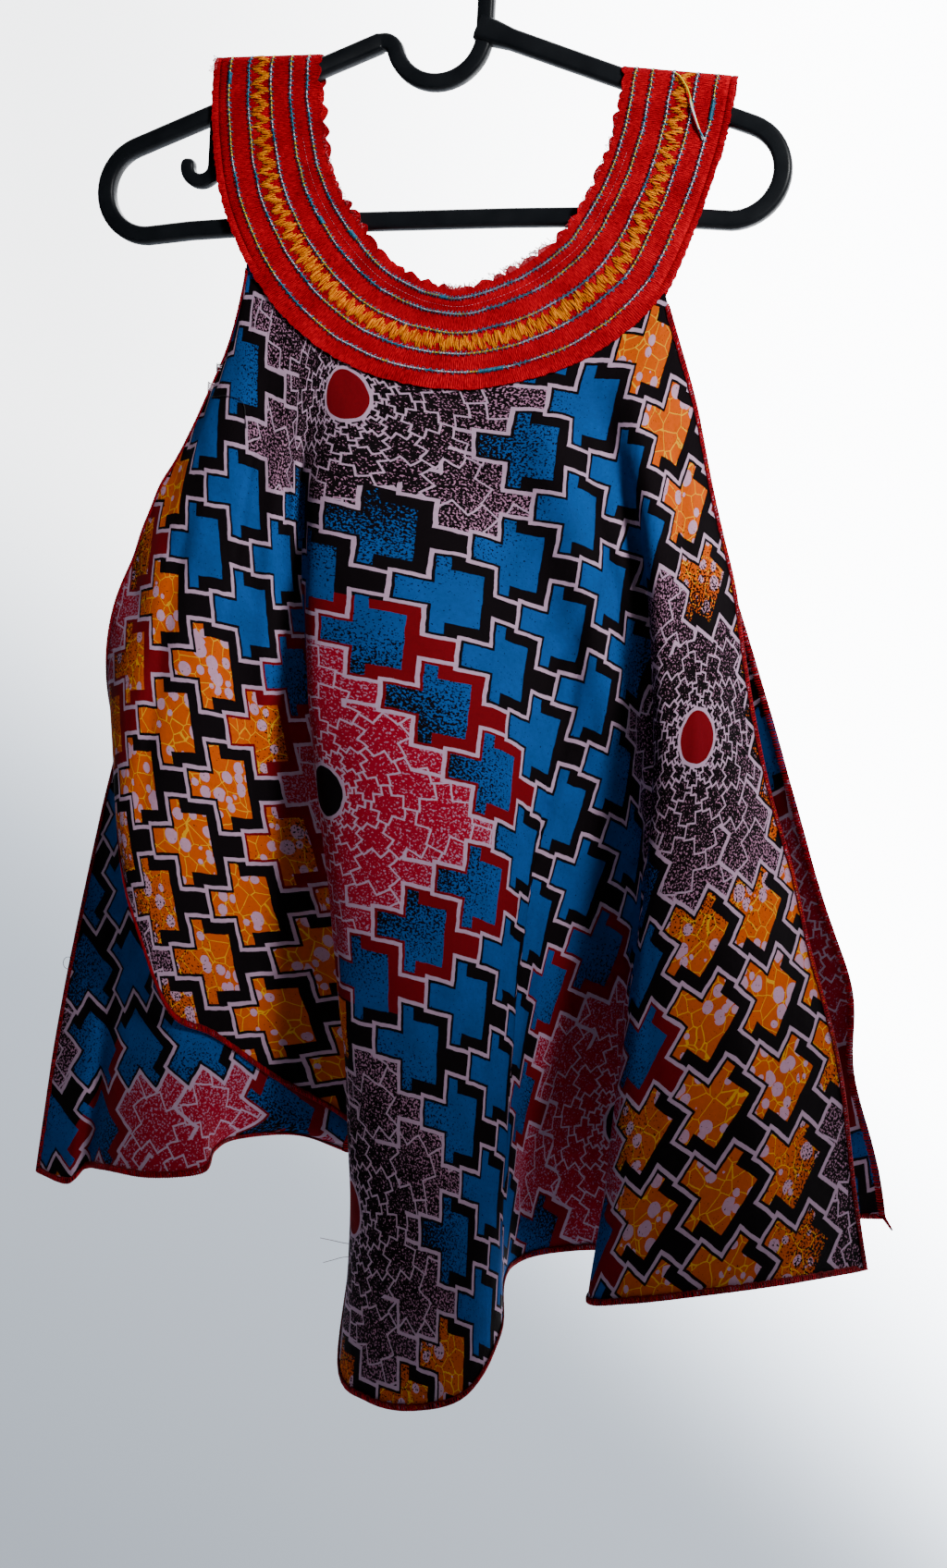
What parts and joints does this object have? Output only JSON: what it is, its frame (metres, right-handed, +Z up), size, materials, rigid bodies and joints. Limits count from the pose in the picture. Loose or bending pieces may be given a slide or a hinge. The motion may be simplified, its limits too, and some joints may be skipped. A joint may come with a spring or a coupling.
{
  "type": "sleeveless dress on a hanger",
  "caption": "Wide sleeveless cotton dress in a bold print, with a stiff red embroidered U-shaped yoke, hanging in folds on a black plastic hanger.",
  "frame": {"origin": "top of the space under the hanger's hook, where a rail carries it", "axes": "+X the viewer's right, -Y the front of the dress, +Z up"},
  "size_m": [0.511, 0.1927, 0.8848],
  "materials": {
    "printed_cotton": "printed cotton, blue, orange, black and crimson",
    "yoke_cloth": "ribbed red cloth",
    "cord": "couched tinsel cord with blue thread",
    "hanger_plastic": "satin black moulded plastic"
  },
  "bodies": {
    "root": {"hanger": "hanger_plastic", "front_yoke": "yoke_cloth", "back_yoke": "yoke_cloth", "front_neck_edging": "yoke_cloth", "back_neck_edging": "yoke_cloth", "front_cord_1": "cord", "front_cord_2": "cord", "front_cord_3": "cord", "front_cord_4": "cord", "front_cord_5": "cord", "back_cord_1": "cord", "back_cord_2": "cord", "back_cord_3": "cord", "back_cord_4": "cord", "back_cord_5": "cord", "front_panel": "printed_cotton", "back_panel": "printed_cotton", "left_gore": "printed_cotton"}
  },
  "joints": []
}
